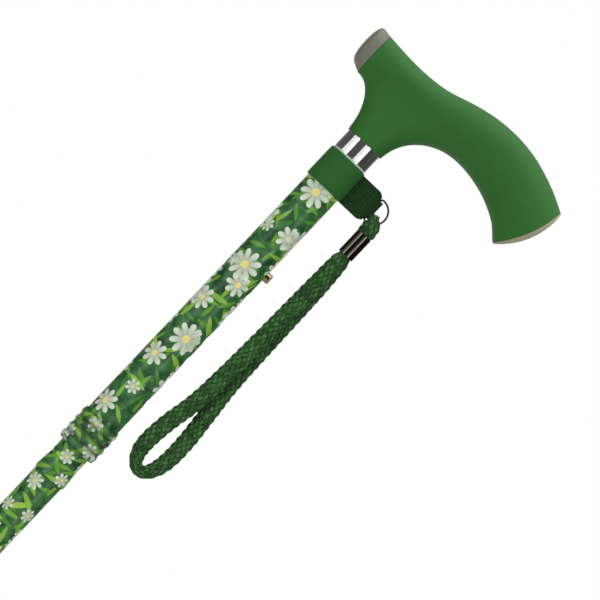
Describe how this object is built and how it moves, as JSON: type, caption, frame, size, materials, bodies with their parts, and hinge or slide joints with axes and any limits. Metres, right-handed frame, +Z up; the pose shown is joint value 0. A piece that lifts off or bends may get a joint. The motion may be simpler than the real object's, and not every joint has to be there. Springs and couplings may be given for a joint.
{
  "type": "folding walking cane",
  "caption": "Folding walking cane with a derby grip, printed telescoping tubes set by a snap button, taper joints on an elastic cord, a corded wrist loop and a rubber foot.",
  "frame": {"origin": "centre of the rubber foot's ground face", "axes": "+Z up the shaft, +X towards the tail of the handle and the strap's tab, +Y across the handle"},
  "size_m": [0.1453, 0.034, 0.8406],
  "materials": {
    "soft_grip": "soft matte moulded grip",
    "grey_cap": "satin moulded plastic",
    "inner_aluminium": "turned",
    "steel": "drawn",
    "bright_chrome": "bright plated",
    "printed_tube": "printed film of white blossoms and leaves on green under clear lacquer",
    "printed_collar": "printed film on a ribbed collar",
    "green_webbing": "woven webbing",
    "dark_wire": "dark plated wire",
    "green_cord": "flat braid",
    "black_nylon": "moulded",
    "green_nylon": "moulded, in the dark green of the print",
    "brass_button": "turned",
    "black_rubber": "moulded",
    "elastic_cord": "braided sheath over rubber strands"
  },
  "bodies": {
    "height_tube": {"height_tube": "printed_tube", "top_bush": "black_nylon", "button_spring": "steel", "upper_cord_anchor": "black_nylon", "socket_bush_upper": "green_nylon"},
    "handle_section": {"handle_grip": "soft_grip", "nose_cap": "grey_cap", "tail_cap": "grey_cap", "neck_plug": "inner_aluminium", "plug_pin": "steel", "neck_ferrule": "bright_chrome", "upper_tube": "printed_tube", "end_collar": "printed_collar", "strap_band": "green_webbing"},
    "strap_ring": {"strap_ring": "dark_wire"},
    "lanyard": {"wrist_cord": "green_cord", "cord_eye": "green_cord", "cord_crimp": "bright_chrome"},
    "snap_button": {"snap_button": "brass_button"},
    "cord_link_upper": {"shock_cord_upper": "elastic_cord"},
    "second_section": {"second_tube": "printed_tube", "joint_plug_upper": "green_nylon", "socket_bush_middle": "green_nylon"},
    "cord_link_middle": {"shock_cord_middle": "elastic_cord"},
    "third_section": {"third_tube": "printed_tube", "joint_plug_middle": "green_nylon", "socket_bush_lower": "green_nylon"},
    "cord_link_lower": {"shock_cord_lower": "elastic_cord"},
    "fourth_section": {"fourth_tube": "printed_tube", "joint_plug_lower": "green_nylon", "lower_cord_anchor": "black_nylon", "foot_washer": "steel", "rubber_foot": "black_rubber"}
  },
  "joints": [
    {"name": "height_setting", "type": "slide", "parent": "height_tube", "child": "handle_section", "axis": [0, 0, 1], "range_m": [0, 0.096]},
    {"name": "button_press", "type": "slide", "parent": "height_tube", "child": "snap_button", "axis": [-1, 0, 0], "range_m": [0, 0.0046], "stiffness_N_per_m": 800, "springref_m": -0.002, "deforming": ["button_spring"]},
    {"name": "ring_swing", "type": "hinge", "parent": "handle_section", "child": "strap_ring", "pos_m": [0.0284, 0, 0.7557], "axis": [0, 0, 1], "range_deg": [-60, 60]},
    {"name": "lanyard_swing", "type": "hinge", "parent": "strap_ring", "child": "lanyard", "pos_m": [0.035, 0, 0.7503], "axis": [-1, 0, 0], "range_deg": [-30, 30]},
    {"name": "fold_upper", "type": "hinge", "parent": "height_tube", "child": "cord_link_upper", "pos_m": [0, 0.0155, 0.5307], "axis": [1, 0, 0], "range_deg": [0, 179], "deforming": ["shock_cord_upper"]},
    {"name": "pull_upper", "type": "slide", "parent": "cord_link_upper", "child": "second_section", "axis": [0, 0, -1], "range_m": [0, 0.0662], "stiffness_N_per_m": 220, "springref_m": -0.07, "deforming": ["shock_cord_upper"]},
    {"name": "fold_middle", "type": "hinge", "parent": "second_section", "child": "cord_link_middle", "pos_m": [0, -0.0155, 0.3559], "axis": [-1, 0, 0], "range_deg": [0, 178], "deforming": ["shock_cord_middle"]},
    {"name": "pull_middle", "type": "slide", "parent": "cord_link_middle", "child": "third_section", "axis": [0, 0, -1], "range_m": [0, 0.0653], "stiffness_N_per_m": 220, "springref_m": -0.07, "deforming": ["shock_cord_middle"]},
    {"name": "fold_lower", "type": "hinge", "parent": "third_section", "child": "cord_link_lower", "pos_m": [0, 0.0155, 0.1811], "axis": [1, 0, 0], "range_deg": [0, 179], "deforming": ["shock_cord_lower"]},
    {"name": "pull_lower", "type": "slide", "parent": "cord_link_lower", "child": "fourth_section", "axis": [0, 0, -1], "range_m": [0, 0.0662], "stiffness_N_per_m": 220, "springref_m": -0.07, "deforming": ["shock_cord_lower"]}
  ],
  "couplings": [
    {"joint": "pull_upper", "follows": "fold_upper", "m_per_rad": 0.021008},
    {"joint": "pull_middle", "follows": "fold_middle", "m_per_rad": 0.021008},
    {"joint": "pull_lower", "follows": "fold_lower", "m_per_rad": 0.021008}
  ]
}
